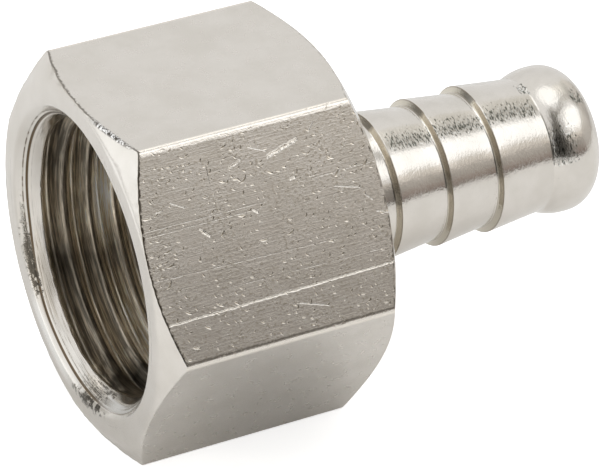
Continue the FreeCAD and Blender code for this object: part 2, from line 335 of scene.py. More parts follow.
def hoseTailSkin():
    skin = Skin()
    angles, outline, toEdge, around = hexagonColumns()
    coarse = angles[::2]
    wear, frontWear = wearAround(around, hexagon["wear"]), wearAround(around, hexagon["frontWear"])
    far = 9.0       # distance from an edge, wherever none is near
    run, length, faceRadius = hexagon["edgeRun"], hexagon["length"], hexagon["faceRadius"]
    rim, crest, bore = socket["rimRadius"], socket["crestRadius"], spigot["boreRadius"]

    def fine(along, radius, front, back, paint):
        skin.ring(along, radius, angles, paint, frontEdge=front, backEdge=back, longEdge=toEdge, around=around,
                  wear=wear, frontWear=frontWear)

    def plain(along, radius, paint, pocket=0.0):
        skin.ring(along, radius, coarse, paint, frontEdge=far, backEdge=far, longEdge=far, around=around[::2],
                  pocket=pocket)

    # mouth rim, still on the coarse columns
    for point in roundedPath([(0.6, rim - 0.6, 0), (0, rim + 0.04, socket["rimRound"]), (0, rim + 0.35, 0)], 8)[1:]:
        plain(point.x, point.y, turned)

    # front face, easing into the chamfer, and the burred edge
    frontEnd = chamferAlong(outline)
    wander = edgeNoise(angles, 34, 3.1) * np.clip(toEdge / 0.6, 0.15, 1) + edgeNoise(angles, 9, 7.7)
    frontEdge = np.maximum(frontEnd + wander * hexagon["burrWander"], frontEnd * 0.4)
    start = hexagon["faceStart"]
    for share in hexagon["faceRows"]:
        radius = start + (outline - start) * share
        along = chamferAlong(radius) * (1 + (frontEdge / np.maximum(frontEnd, 0.02) - 1) * share ** 6)
        fine(along, radius, (radius - outline) / math.cos(chamfer), far, turned)
    # just past the edge: how far along and how high, and the distance that counts for the finishes
    burr = hexagon["burrHeight"] * (0.5 + 0.5 * edgeNoise(angles, 60, 1.9)) * (toEdge > 0.3)
    for past, lift, mark in ((0.004, -0.012, 0.0), (0.022, burr, 0.022), (0.060, burr * 0.6, 0.060), (run, 0.0, run)):
        fine(frontEdge + past, outline + lift, mark, far, drawn)

    # the flats
    backRun = (outline - faceRadius) * math.tan(chamfer)
    backEdge = length - backRun + edgeNoise(angles, 30, 5.3) * 0.02
    for step in range(1, hexagon["flatRows"]):
        share = step / hexagon["flatRows"]
        along = (frontEdge + run) * (1 - share) + (backEdge - run) * share
        fine(along, outline, along - frontEdge, backEdge - along, drawn)
    fine(backEdge - run, outline, far, run, drawn)
    fine(backEdge - 0.030, outline, far, 0.030, drawn)
    fine(backEdge - 0.004, outline - 0.010, far, 0.0, turned)

    # back chamfer and back face
    for share in hexagon["backRows"]:
        radius = outline + (faceRadius - outline) * share
        along = length - (radius - faceRadius) * math.tan(chamfer)
        fine(along, radius, far, (radius - outline) / math.cos(chamfer), turned)
    for radius in hexagon["backRadii"]:
        fine(length, radius, far, -3.0, turned)

    # the spigot, and the waterway back to the socket's floor and the relief at the thread's end
    outside = filled(roundedPath(spigotPath()), spigot["longestRun"])
    for point in outside:
        away = min(abs(place - spigot["stepMiddle"] - point.x) for place in spigot["crests"])
        plain(point.x, point.y, turned if point.y > spigot["barbedBelow"] else barbed,
              max(0.0, 1 - away / spigot["stepHalf"]))
    end, relief = socket["threadEnd"], socket["reliefRadius"]
    reliefEnd = relief - socket["reliefEase"]
    inside = roundedPath([(outside[-1].x, bore, 0), (socket["floor"], bore, 0.10),
                          (socket["floor"], relief, 0.30), (end, relief, 0.10), (end, reliefEnd, 0)])
    for point in filled(inside, socket["longestRun"])[1:]:
        plain(point.x, point.y, threaded)

    # thread, from its inner end out to the countersink
    def grooved(along, base):
        return smoothMax(base, threadCut(along, coarse), socket["crestRound"])

    for share in (0.5, 0.95):
        plain(end, reliefEnd * (1 - share) + grooved(end, crest) * share, threaded)
    along = end - 0.02
    while along > socket["threadStart"]:
        plain(along, grooved(along, crest), threaded)
        along -= socket["rowStep"]

    # countersink with its fine tool lines
    wobble = edgeNoise(coarse, 40, 4.4) * socket["cutWander"]
    slideFrom, slideTo, slideBy = socket["lineSlide"]
    low, high = socket["lineStart"]
    turn = (np.degrees(coarse) + 180) % 360 - 180
    slide = slideBy * eased((turn - slideFrom) / (slideTo - slideFrom)) * np.clip((turn - low) / (high - low), 0, 1)
    easeStart, easeSlope = socket["innerEase"]
    for along in socket["coneRows"]:
        base = smoothMax(crest, crest + (easeStart - along) * easeSlope, 0.04)
        base = smoothMax(base, rim - along, 0.06)
        inLine = np.zeros_like(coarse)
        for place, half, depth in socket["toolLines"]:
            tent = np.clip(1 - np.abs(along + slide - place) / half, 0, 1)
            inLine = np.maximum(inLine, tent)
            base = base + depth * tent
        wall = grooved(along + wobble, base)
        plain(along, wall, turned, np.where(wall > base + 0.10, -1.0, inLine))
    skin.close()
    return skin


def signedVolume(points, faces):
    total = 0.0
    for face in faces:
        first = Vector(points[face[0]])
        for second, third in zip(face[1:], face[2:]):
            total += first.dot(Vector(points[second]).cross(Vector(points[third]))) / 6
    return total


def makeMesh(name, points, faces, marks):
    # marks are numbers at every point, for the finishes to read
    data = bpy.data.meshes.new(name)
    data.from_pydata([[value * metres for value in point] for point in points], [], faces)
    for markName, values in marks.items():
        data.attributes.new(markName, "FLOAT", "POINT").data.foreach_set("value", values)
    return data


skin = hoseTailSkin()
volume = signedVolume(skin.points, skin.faces)
assert volume > 0, "the skin is inside out"
mesh = makeMesh("hoseTailBody", skin.points, skin.faces, skin.marks)
mesh.polygons.foreach_set("material_index", skin.paint)
mesh.polygons.foreach_set("use_smooth", [True] * len(skin.faces))
mesh.update()
body = addItem("hoseTailBody", mesh)
print("skin made:", len(skin.rows), "rings,", len(skin.faces), "faces,", round(volume, 1), "mm3")


# a signal is what a node puts out, and arithmetic on signals adds the nodes for it
class Signal:
    def __init__(self, out):
        self.out = out

    def __add__(self, other):
        return sums("ADD", self, other)

    def __sub__(self, other):
        return sums("SUBTRACT", self, other)

    def __rsub__(self, other):
        return sums("SUBTRACT", other, self)

    def __mul__(self, other):
        return sums("MULTIPLY", self, other)

    def __truediv__(self, other):
        return sums("DIVIDE", self, other)

    def __rtruediv__(self, other):
        return sums("DIVIDE", other, self)


def feed(value, into):
    if isinstance(value, Signal):
        into.id_data.links.new(value.out, into)
    else:
        into.default_value = value


def addNode(kind, values, **settings):
    # values go to inputs by their order, or by name or number in a dictionary; one of them at least is a signal
    values = values if isinstance(values, dict) else dict(enumerate(values))
    tree = next(value.out.id_data for value in values.values() if isinstance(value, Signal))
    node = tree.nodes.new(kind)
    for name, setting in settings.items():
        setattr(node, name, setting)
    for key, value in values.items():
        feed(value, node.inputs[key])
    return node


def sums(operation, *values, clamp=False):
    return Signal(addNode("ShaderNodeMath", values, operation=operation, use_clamp=clamp).outputs[0])


def vectors(operation, first, second=None, **named):
    values = {0: first, **named} if second is None else {0: first, 1: second}
    node = addNode("ShaderNodeVectorMath", values, operation=operation)
    return Signal(node.outputs["Value" if operation in {"DOT_PRODUCT", "LENGTH", "DISTANCE"} else "Vector"])


def scaled(vector, scale):
    return vectors("SCALE", vector, Scale=scale)


def ranged(value, low, high, toLow=0.0, toHigh=1.0, smooth=True):
    return Signal(addNode("ShaderNodeMapRange", (value, low, high, toLow, toHigh),
                          interpolation_type="SMOOTHSTEP" if smooth else "LINEAR").outputs["Result"])


def falling(value, low, high):
    return ranged(value, low, high, 1.0, 0.0)


def between(value, low, high, ease):
    # one inside the span, easing to nothing outside it
    return ranged(value, low - ease, low + ease) * falling(value, high - ease, high + ease)


def mixedColour(share, first, second):
    return Signal(addNode("ShaderNodeMix", {0: share, 6: first, 7: second}, data_type="RGBA").outputs[2])


def grain(place, scale, detail=2.0, rough=0.5):
    values = {"Vector": place, "Scale": scale, "Detail": detail, "Roughness": rough}
    return Signal(addNode("ShaderNodeTexNoise", values).outputs[0])


def toneRamp(share, stops, tint=(1, 1, 1)):
    node = addNode("ShaderNodeValToRGB", [share])
    elements = node.color_ramp.elements
    while len(elements) < len(stops):
        elements.new(0.5)
    for stop, (place, level) in zip(elements, stops):
        stop.position = place
        stop.color = (*(level * value for value in tint), 1)
    return Signal(node.outputs[0])


def tonesRound(angle, stops, tint=(1, 1, 1)):
    # the same with stops at angles
    first, last = stops[0][0], stops[-1][0]
    shares = [((place - first) / (last - first), tone) for place, tone in stops]
    return toneRamp(ranged(angle, first, last, smooth=False), shares, tint)


def joined(x, y, z=0.0):
    return Signal(addNode("ShaderNodeCombineXYZ", (x, y, z)).outputs[0])


def parts(vector, kind="ShaderNodeSeparateXYZ"):
    return [Signal(out) for out in addNode(kind, [vector]).outputs]


def newMaterial(name):
    material = bpy.data.materials.new(name)
    material.use_nodes = True
    return material, material.node_tree


def objectPlace(tree):
    # in millimetres
    return scaled(Signal(tree.nodes.new("ShaderNodeTexCoord").outputs["Object"]), 1 / metres)


def readMark(tree, name):
    node = tree.nodes.new("ShaderNodeAttribute")
    node.attribute_name = name
    return Signal(node.outputs["Fac"])


# effects that several finishes share: each is given its inputs as signals and gives back its outputs
def drawnLines(position, along, across):
    # fine lines left by drawing the bar: long along it, close together across it
    coarse = grain(vectors("MULTIPLY", position, joined(along, across, 1.0)), 1.0, 3.0, 0.6)
    shifted = vectors("ADD", position, (3.7, 1.3, 0.0))
    fine = grain(vectors("MULTIPLY", shifted, joined(along * 2.0, across * 2.7, 1.0)), 1.0, 2.0)
    return [fine * 0.45 + coarse * 0.55]


def turnedRings(position, fineness, around):
    # tool rings round the axis, as a height over the profile; radius and angle come out for use elsewhere
    x, y, z = parts(position)
    radius = vectors("LENGTH", joined(y, z))
    profile, outward = scaled(joined(x, radius), fineness), scaled(joined(0.0, y, z), around)
    return [grain(vectors("ADD", profile, outward), 1.0, 3.0, 0.6), radius, sums("DEGREES", sums("ARCTAN2", z, y))]


def tickMarks(position, density, length, width, share, turn, bend, seed):
    # short knocks and scratches, one to a cell, each turned its own way; length and width are half sizes
    moved = scaled(vectors("ADD", position, joined(seed, seed)), density)
    cells = addNode("ShaderNodeTexVoronoi", {"Vector": moved, "Scale": 1.0}, voronoi_dimensions="2D").outputs
    dx, dy, _ = parts(scaled(vectors("SUBTRACT", moved, Signal(cells["Position"])), 1.0 / density))
    pickTurn, pickShare, pickSize = parts(Signal(cells["Color"]), "ShaderNodeSeparateColor")
    angle = (pickTurn - 0.5) * (turn * 2.0)
    cosine, sine = sums("COSINE", angle), sums("SINE", angle)
    along = dx * cosine + dy * sine
    across = (dy * cosine - dx * sine + along * along * bend * (pickSize - 0.5)) / width
    along = along / (length * ranged(pickSize, 0.0, 1.0, 0.45, 1.5, smooth=False))
    mask = falling(along * along + across * across, 0.0, 1.3) * sums("GREATER_THAN", share, pickShare)
    return [mask, mask * sums("GREATER_THAN", pickTurn, 0.45)]


def scratch(position, start, end, width, ragged, waver, broken):
    # one scratch between two places, fading out over this far at both ends
    fade = 0.10
    run, offset = vectors("SUBTRACT", end, start), vectors("SUBTRACT", position, start)
    length, heading = vectors("LENGTH", run), vectors("NORMALIZE", run)
    along = vectors("DOT_PRODUCT", offset, heading)
    headX, headY, _ = parts(heading)
    across = vectors("DOT_PRODUCT", offset, joined(headY * -1.0, headX)) + waver * width
    body = falling(sums("ABSOLUTE", across / width), 0.0, 1.0) * (1.0 - broken * ragged)
    return [body * ranged(along, 0.0, fade) * falling(along, length - fade, length)]


def edgeBand(distance, position, centre, width, ragged, fineness):
    # a ragged line that follows an edge, by the distance from it
    waver = (grain(position, fineness, 4.0, 0.65) - 0.5) * (ragged * 4.0)
    return [falling(sums("ABSOLUTE", distance + waver - centre) / width, 0.35, 1.0)]


def platingDrift(position, light, deep, scale):
    # slow change of the plating's colour
    return [mixedColour(ranged(grain(position, scale, 4.0, 0.6), 0.30, 0.70), light, deep)]


def speckle(position, fineness, share):
    # small broken specks, dark and light, where a shine breaks up; the light ones are painted glints
    field = grain(position, fineness, 2.5, 0.7)
    return [ranged(field + share * 0.16, 0.60, 0.66), falling(field - share * 0.16, 0.34, 0.40)]


def makeGroup(build, outputs, inputs):
    # an input that starts as None is a place, one with four numbers a colour
    tree = bpy.data.node_groups.new(build.__name__, "ShaderNodeTree")
    for name, start in inputs.items():
        kind = "Vector" if start is None else "Float" if isinstance(start, float) else "Color"
        made = tree.interface.new_socket(name=name, in_out="INPUT", socket_type="NodeSocket" + kind)
        if start is not None:
            made.default_value = start
    for name in outputs:
        kind = "Color" if name == "colour" else "Float"
        tree.interface.new_socket(name=name, in_out="OUTPUT", socket_type="NodeSocket" + kind)
    given, taken = tree.nodes.new("NodeGroupInput").outputs, tree.nodes.new("NodeGroupOutput").inputs
    for name, value in zip(outputs, build(**{name: Signal(given[name]) for name in inputs})):
        feed(value, taken[name])
    return tree


groups = {build: makeGroup(build, outputs, inputs) for build, outputs, inputs in (
    (drawnLines, ["height"], {"position": None, "along": 0.3, "across": 8.0}),
    (turnedRings, ["height", "radius", "angle"], {"position": None, "fineness": 10.0, "around": 0.6}),
    (tickMarks, ["mask", "bright"], {"position": None, "density": 1.0, "length": 0.25, "width": 0.05, "share": 0.4,
                                     "turn": 0.8, "bend": 0.0, "seed": 0.0}),
    (scratch, ["mask"], {"position": None, "start": None, "end": None, "width": 0.06, "ragged": 0.3, "waver": 0.0,
                         "broken": 0.0}),
    (edgeBand, ["mask"], {"distance": 0.0, "position": None, "centre": 0.0, "width": 0.06, "ragged": 0.05,
                          "fineness": 3.0}),
    (platingDrift, ["colour"], {"position": None, "light": (0.75, 0.72, 0.67, 1.0), "deep": (0.68, 0.64, 0.58, 1.0),
                                "scale": 0.35}),
    (speckle, ["dark", "light"], {"position": None, "fineness": 7.0, "share": 0.5}),
)}


def placeGroup(build, **values):
    node = addNode("ShaderNodeGroup", values, node_tree=groups[build])
    return {out.name: Signal(out) for out in node.outputs}


class Paint:
    # one finish: its colour is tinted step by step, and heights in millimetres are added together
    def __init__(self, name, look):
        self.material, self.tree = newMaterial(name)
        self.shader = self.tree.nodes["Principled BSDF"]
        self.shader.inputs["Metallic"].default_value = 1.0
        self.place = objectPlace(self.tree)
        self.look = look
        self.colour = self.height = None

    def mark(self, name):
        return readMark(self.tree, name)

    def drift(self, scale=0.35):
        self.colour = placeGroup(platingDrift, position=self.place, light=(*self.look["light"], 1),
                                 deep=(*self.look["deep"], 1), scale=scale)["colour"]

    def lift(self, mask, height):
        lifted = mask * height
        self.height = lifted if self.height is None else self.height + lifted

    def rings(self):
        # tool rings; gives back the place along the axis, the angle, the radius, the way round and the rings
        look = self.look
        rings = placeGroup(turnedRings, position=self.place, fineness=look["ringFineness"], around=look["ringAround"])
        self.lift(rings["height"], look["ringHeight"])
        arc = rings["angle"] * (degree * look["rolledRadius"])
        return parts(self.place)[0], rings["angle"], rings["radius"], arc, rings["height"]

    def tint(self, mask, colour):
        self.colour = mixedColour(mask, self.colour, (*colour, 1))

    def knocked(self, longDistance):
        # how knocked the top flat's front edge is: most of all a few millimetres from its near corner
        frontWear = self.mark("frontWear")
        onTop = ranged(frontWear, 0.70, 0.84) * falling(frontWear, 0.86, 0.98)
        return onTop * falling(parts(self.place)[1], -1.0, 1.0) * between(longDistance, 1.0, 4.6, 0.9)

    def edgeSpecks(self, frontDistance, knocked):
        # black and bright specks along it, the bright ones painted glints
        there = knocked * between(frontDistance, -0.16, 0.20, 0.08)
        specks = placeGroup(speckle, position=self.place, fineness=6.0, share=0.85)
        self.tint(specks["dark"] * there, (0.09, 0.08, 0.07))
        self.tint(specks["light"] * there, (0.93, 0.92, 0.90))
        self.lift((specks["light"] - specks["dark"]) * there, 0.03)

    def finish(self, place, scale):
        # roughness drifts between the look's two
        roughness = ranged(grain(place, scale, 3.0), 0.3, 0.7, *self.look["roughness"])
        feed(self.colour, self.shader.inputs["Base Color"])
        feed(roughness, self.shader.inputs["Roughness"])
        bump = addNode("ShaderNodeBump", {"Strength": 1.0, "Distance": metres, "Height": self.height})
        feed(Signal(bump.outputs[0]), self.shader.inputs["Normal"])
        return self.material


drawnLook = {
    "light": (0.74, 0.705, 0.655),
    "deep": (0.69, 0.655, 0.60),
    "roughness": (0.20, 0.28),
    "linesAlong": 0.30,
    "linesAcross": 6.0,
    "lineHeight": 0.0110,
    "grainScale": 6.0,
    "grainHeight": 0.0115,
    "grainTint": (0.53, 0.49, 0.42),
    "tickShade": (0.30, 0.265, 0.21),
    "tickHighlight": (0.86, 0.79, 0.68),
    "gougeHighlight": (0.90, 0.84, 0.75),
    "gougeDepth": 0.020,            # scratches deeper than this get a painted highlight
    "edgeHighlight": (0.84, 0.79, 0.72),
    "rolledDepth": 0.014,
    "edgeLine": (0.10, 0.085, 0.065),
    # large and small ticks: share of the cells that have one, depth and form
    "ticks": ((0.38, 0.018, {"density": 0.95, "length": 0.22, "width": 0.080, "turn": 0.9, "bend": 1.8, "seed": 4.1}),
              (0.8, 0.012, {"density": 2.1, "length": 0.12, "width": 0.060, "turn": 1.2, "bend": 3.0, "seed": 11.7})),
    # scratches and knocks on the side flat: picture places of their ends, width, depth and how broken they are
    "sideMarks": (
        ((164, 328), (399, 260), 0.085, 0.022, 0.0),
        ((153, 283), (330, 240), 0.050, 0.006, 0.5),
        ((144, 233), (268, 201), 0.045, 0.006, 0.5),
        ((144, 239), (262, 208), 0.045, 0.005, 0.5),
        ((290, 184), (384, 158), 0.040, 0.005, 0.6),
        ((228, 288), (384, 248), 0.040, 0.005, 0.6),
        ((266, 157), (297, 138), 0.170, 0.050, 0.0),
        ((228, 168), (241, 159), 0.120, 0.034, 0.2),
        ((199, 229), (211, 237), 0.130, 0.036, 0.1),
        ((246, 147), (266, 151), 0.040, 0.013, 0.1),
        ((169, 203), (185, 208), 0.042, 0.014, 0.1),
        ((205, 165), (210, 186), 0.045, 0.010, 0.3),
        ((252, 209), (259, 213), 0.100, 0.030, 0.0),
        ((289, 179), (296, 177), 0.110, 0.032, 0.0),
        ((308, 132), (313, 121), 0.055, 0.018, 0.0),
        ((334, 186), (361, 187), 0.042, 0.013, 0.2),
        ((364, 193), (373, 200), 0.060, 0.020, 0.0),
        ((376, 211), (389, 212), 0.050, 0.018, 0.1),
        ((296, 303), (330, 305), 0.055, 0.014, 0.3),
        ((155, 213), (163, 211), 0.060, 0.018, 0.0),
    ),
}


def placeOnSideFlat(pixel):
    # where a pixel of the picture meets the side flat: along the bar and round it, in millimetres
    right, up, back = cameraAxes()
    eye = cameraPlace()
    ray = (right * ((pixel[0] - photograph["width"] / 2) / photograph["focalPixels"])
           + up * ((photograph["height"] / 2 - pixel[1]) / photograph["focalPixels"]) - back)
    normal = Vector((0, -math.cos(30 * degree), 0.5))
    point = eye + ray * ((hexagon["toFlat"] - eye.dot(normal)) / ray.dot(normal))
    return point.x, 2.5 * flatPitch + point.dot(Vector((0, -0.5, -math.cos(30 * degree)))), 0.0


def makeDrawn(name, scratched):
    # the side flat carries its own scratches, the top flat the specks along its front edge
    look = drawnLook
    paint = Paint(name, look)
    paint.drift()
    around, wear, frontDistance, longDistance = (paint.mark(k) for k in ("around", "wear", "frontEdge", "longEdge"))
    flat = joined(parts(paint.place)[0], around)

    def edge(distance, centre, width, ragged, fineness):
        return placeGroup(edgeBand, distance=distance, position=flat, centre=centre, width=width, ragged=ragged,
                          fineness=fineness)["mask"]

    # drawn lines and grain, weaker on the flats that are less marked
    lines = placeGroup(drawnLines, position=flat, along=look["linesAlong"], across=look["linesAcross"])["height"]
    calm = ranged(wear, 0.0, 1.0, 0.35, 1.0, smooth=False)
    paint.lift(lines * calm, look["lineHeight"])
    fine = grain(vectors("MULTIPLY", flat, (0.7, 1.0, 1.0)), look["grainScale"], 3.0, 0.62)
    patchy = ranged(grain(flat, 0.45, 2.0), 0.35, 0.65, 0.6, 1.25) * calm
    paint.lift(fine * patchy, look["grainHeight"])
    if scratched:
        paint.tint(ranged(fine, 0.52, 0.66) * patchy, look["grainTint"])

    # ticks, crowded in some places, each with a painted highlight and about half with painted shade over it, and the
    # scratches of the side flat
    crowd = ranged(grain(vectors("ADD", flat, (9.0, 4.0, 0.0)), 0.22, 2.0), 0.40, 0.62, 0.25, 0.85)
    worn = ranged(wear, 0.3, 1.0, smooth=False)
    for share, depth, form in look["ticks"]:
        ticks = placeGroup(tickMarks, position=flat, share=crowd * share, **form)
        paint.lift(ticks["mask"] * worn, -depth)
        paint.tint(ticks["mask"] * worn, look["tickHighlight"])
        paint.tint((ticks["mask"] - ticks["bright"]) * worn * 0.8, look["tickShade"])
    if scratched:
        waver, broken = (grain(flat, 2.5, 3.0) - 0.5) * 2.0, ranged(grain(flat, 5.0, 2.0), 0.30, 0.62)
        for start, end, width, depth, ragged in look["sideMarks"]:
            line = placeGroup(scratch, position=flat, start=placeOnSideFlat(start), end=placeOnSideFlat(end),
                              width=width, ragged=ragged, waver=waver, broken=broken)["mask"]
            paint.lift(line, -depth)
            # deep scratches get a painted highlight
            if depth > look["gougeDepth"]:
                paint.tint(line * 0.9, look["gougeHighlight"])

    # nicked dark line along the front edge, and nicks along the back one
    nicks = ranged(grain(flat, 5.0, 2.0), 0.53, 0.60) * falling(frontDistance, 0.08, 0.26)
    front = sums("MAXIMUM", edge(frontDistance, 0.03, 0.13, 0.12, 4.0), nicks)
    front = front * ranged(paint.mark("frontWear"), 0.5, 1.0)
    if not scratched:
        knocked = paint.knocked(longDistance)
        front = front * (1.0 - knocked)
        paint.edgeSpecks(frontDistance, knocked)
    back = edge(paint.mark("backEdge"), 0.05, 0.10, 0.09, 3.1) * wear * ranged(grain(flat, 1.6, 2.0), 0.45, 0.60)

    # painted highlight along the long edges, also where a flat begins and is rolled over; a dark broken line where the
    # side flat ends
    within = sums("FRACT", around / flatPitch)
    rolled = falling(longDistance + (grain(flat, 4.5, 3.0, 0.6) - 0.5) * 0.25, 0.18, 0.36) * falling(within, 0.1, 0.3)
    paint.lift(rolled, -look["rolledDepth"])
    paint.tint(falling(longDistance, 0.10, 0.24), look["edgeHighlight"])
    paint.tint(rolled, look["edgeHighlight"])
    if scratched:
        # painted shade: the side flat is lighter along its upper long edge and darker towards its lower one
        paint.colour = scaled(paint.colour, ranged(within, 0.1, 0.9, 1.08, 0.90, smooth=False))
    paint.tint(front, look["edgeLine"])
    if scratched:
        ended = edge(longDistance, 0.24, 0.08, 0.055, 4.0) * wear * ranged(within, 0.70, 0.90)
        paint.tint(ended * 0.7, look["edgeLine"])
    paint.tint(back * 0.75, look["edgeLine"])
    return paint.finish(flat, 1.3)


threadLook = {
    "grazing": (0.85, 0.78, 0.68),
    "crest": (0.32, 0.28, 0.225),
    "root": (0.80, 0.72, 0.595),
    "roughness": (0.38, 0.52),
    "ringHeight": 0.008,
    "ringFineness": 4.0,
    "ringAround": 0.9,
    "rolledRadius": 9.8,            # at which the bore is taken as rolled out flat
    "rootDepth": (0.01, 0.34),      # from the crest outward, where its tone gives way to the root's
    "chatterShare": 1.2,
    "streakScale": (7.0, 0.22, 5.0),        # along, round and outward
    "streaks": (0.50, 1.50),
    "cloudScale": (0.45, 0.28),
    "clouds": (0.86, 1.12),
    "cloudTurn": 30.0,              # how far the clouds push the zones round
    # painted light and shade: how light the bore is painted, by angle round it
    "lightAndShadeZones": ((-130, 1.00), (-102, 0.48), (-91, 0.26), (-80, 1.14), (-68, 1.36), (-55, 1.02), (-34, 0.66),
              (-18, 1.48), (-6, 1.50), (8, 1.02), (24, 1.14), (40, 1.35)),
    "outerSpan": (2.2, 6.8),
    "outerShade": (0.61, 1.27),     # near the mouth, and deeper in
}
turnedLook = {
    "light": (0.745, 0.71, 0.66),
    "deep": (0.69, 0.655, 0.60),
    "roughness": (0.15, 0.22),
    "ringHeight": 0.0016,
    "ringFineness": 9.0,
    "ringAround": 0.25,
    "bruiseHeight": 0.020,
    "rolledRadius": 10.2,
    "rootEdge": (1.58, 1.64),
    "toolLineShade": (0.13, 0.095, 0.060),
    "lineSpans": ((0.55, 0.78), (0.30, 0.53), (0.80, 0.96)),       # the inner, the outer and the faint one
    "lineBreaks": (0.30, 0.85),
    "patchTone": (0.36, 0.33, 0.275),
    "speckDark": (0.10, 0.09, 0.075),
    # dark speckled patches on the mouth: spans of angle, along the axis and of radius, how strongly they show, and one
    # where they run in streaks round it
    "patches": (((-39, -19), (0.14, 0.55), (9.6, 10.6), 1.2, 0), ((-21, -8), (0.24, 0.48), (9.6, 10.6), 0.6, 0),
                ((-42, -20), (0.02, 0.22), (10.1, 10.5), 0.55, 0), ((-103, -84), (-0.10, 0.30), (10.25, 10.85), 0.9, 0),
                ((-105, -90), (0.85, 1.30), (9.2, 9.8), 0.9, 1), ((-100, -86), (0.36, 0.88), (9.5, 10.2), 0.8, 1)),
    "combAround": 13.0,
    "combAlong": 8.5,
    "streakAround": 0.45,
    "streakAlong": 1.9,
    "cutSpan": (-104, -12),
    "cutAlong": (0.50, 1.42),
    "greyShadeSpan": (-94.0, -112.0),
    "greyShadeAlong": (0.35, 1.50),
    "greyShadeReach": (10.5, 10.8),
    "greyShadeShare": 0.65,             # how much of the lines it takes away
    "greyShadeTone": (0.62, 0.61, 0.585),
    "lipSpan": (-79, -44),
    "lipReach": (10.80, 11.50),
    "lipHighlight": (1.0, 0.985, 0.945),
}


def makeTurned():
    look = turnedLook
    paint = Paint("turnedNickel", look)
    paint.drift()
    x, angle, radius, arc, _ = paint.rings()
    pocket, frontDistance, longDistance = (paint.mark(k) for k in ("pocket", "frontEdge", "longEdge"))
    # the groove's wall where the thread starts
    paint.tint(falling(pocket, -0.9, -0.2) * falling(x, *look["rootEdge"]), threadLook["root"])
    # tool lines, darkened with painted shade in their grooves: the inner one is whole, the outer ones come and go, and
    # all die away in the painted grey shade below
    slideFrom, slideTo, slideBy = socket["lineSlide"]
    slid = x + falling(angle, slideTo, slideFrom) * slideBy
    innerSpan, outerSpan, faintSpan = look["lineSpans"]
    inner = ranged(pocket, 0.12, 0.55) * between(slid, *innerSpan, 0.01)
    outer = ranged(pocket, 0.30, 0.80) * between(slid, *outerSpan, 0.01)
    faint = ranged(pocket, 0.30, 0.90) * between(slid, *faintSpan, 0.01)
    broken = ranged(ranged(grain(joined(arc, x), 1.6, 3.0), 0.40, 0.58), 0.0, 1.0, *look["lineBreaks"])
    line = sums("MULTIPLY_ADD", outer + faint * 0.6, broken, inner, clamp=True)
    greyShade = ranged(angle, *look["greyShadeSpan"]) * falling(radius, *look["greyShadeReach"])
    paint.tint(line * (1.0 - greyShade * look["greyShadeShare"]), look["toolLineShade"])
    paint.tint(greyShade * between(x, *look["greyShadeAlong"], 0.15), look["greyShadeTone"])
    paint.edgeSpecks(frontDistance, paint.knocked(longDistance))
    bruised = falling(longDistance, 2.0, 4.5) * ranged(frontDistance, -2.4, -1.2) * falling(x, 2.0, 4.0)
    paint.lift(grain(paint.place, 2.2, 4.0, 0.65) * bruised, look["bruiseHeight"])
    # painted highlight where the front face rolls into the mouth
    lip = between(angle, *look["lipSpan"], 7.0) * falling(radius, *look["lipReach"])
    paint.tint(lip * falling(x, 0.0, 0.10), look["lipHighlight"])
    # dark streaks and dark speckled patches
    across = (x - radius) * look["combAlong"]
    comb = joined(arc * look["combAround"], across)
    field = grain(comb, 1.0, 3.0, 0.68)
    cloudy = ranged(grain(comb, 0.18, 2.0), 0.38, 0.60)
    streak = grain(joined(arc * look["streakAround"], across * look["streakAlong"]), 1.0, 2.5, 0.6)
    cut = ranged(streak, 0.56, 0.63) * between(x, *look["cutAlong"], 0.10) * between(angle, *look["cutSpan"], 12.0)
    paint.tint(cut * 0.55, look["toolLineShade"])
    inStreaks = ranged(streak, 0.40, 0.50)
    torn, outward = angle + (cloudy - 0.5) * 9.0, radius + (cloudy - 0.5) * 0.35
    for turnSpan, alongSpan, outSpan, strength, streaky in look["patches"]:
        there = between(torn, *turnSpan, 4.5) * between(x, *alongSpan, 0.08) * between(outward, *outSpan, 0.16)
        there = there * (inStreaks * strength if streaky else strength)
        dark = ranged(field + there * (cloudy * 0.14 + 0.12), 0.585, 0.635) * ranged(there, 0.0, 0.35)
        paint.tint(there * 0.6, look["patchTone"])
        paint.tint(dark, look["speckDark"])
    return paint.finish(paint.place, 1.1)


def makeThreaded():
    look = threadLook
    paint = Paint("threadedNickel", look)
    paint.shader.inputs["Specular Tint"].default_value = (*look["grazing"], 1)
    along, angle, radius, arc, chatter = paint.rings()
    depth = ranged(radius, *(socket["crestRadius"] + past for past in look["rootDepth"]))
    uneven = sums("MULTIPLY_ADD", chatter - 0.5, look["chatterShare"], depth, clamp=True)
    # streaks left by the threading tool run round the bore, and clouds where the plating is thin
    streak = grain(vectors("MULTIPLY", joined(along, arc, radius), look["streakScale"]), 1.0, 3.0, 0.65)
    cloud = grain(vectors("MULTIPLY", joined(along, arc), (*look["cloudScale"], 0.0)), 1.0, 2.0, 0.5)
    shade = ranged(streak, 0.40, 0.66, *look["streaks"]) * ranged(cloud, 0.34, 0.66, *look["clouds"])
    # painted light and shade by angle round the bore, darker towards the mouth and lighter deeper in
    shade = shade * tonesRound(angle + (cloud - 0.5) * look["cloudTurn"], look["lightAndShadeZones"])
    shade = shade * ranged(along, *look["outerSpan"], *look["outerShade"])
    paint.colour = scaled(mixedColour(uneven, (*look["crest"], 1), (*look["root"], 1)), shade)
    return paint.finish(paint.place, 1.4)


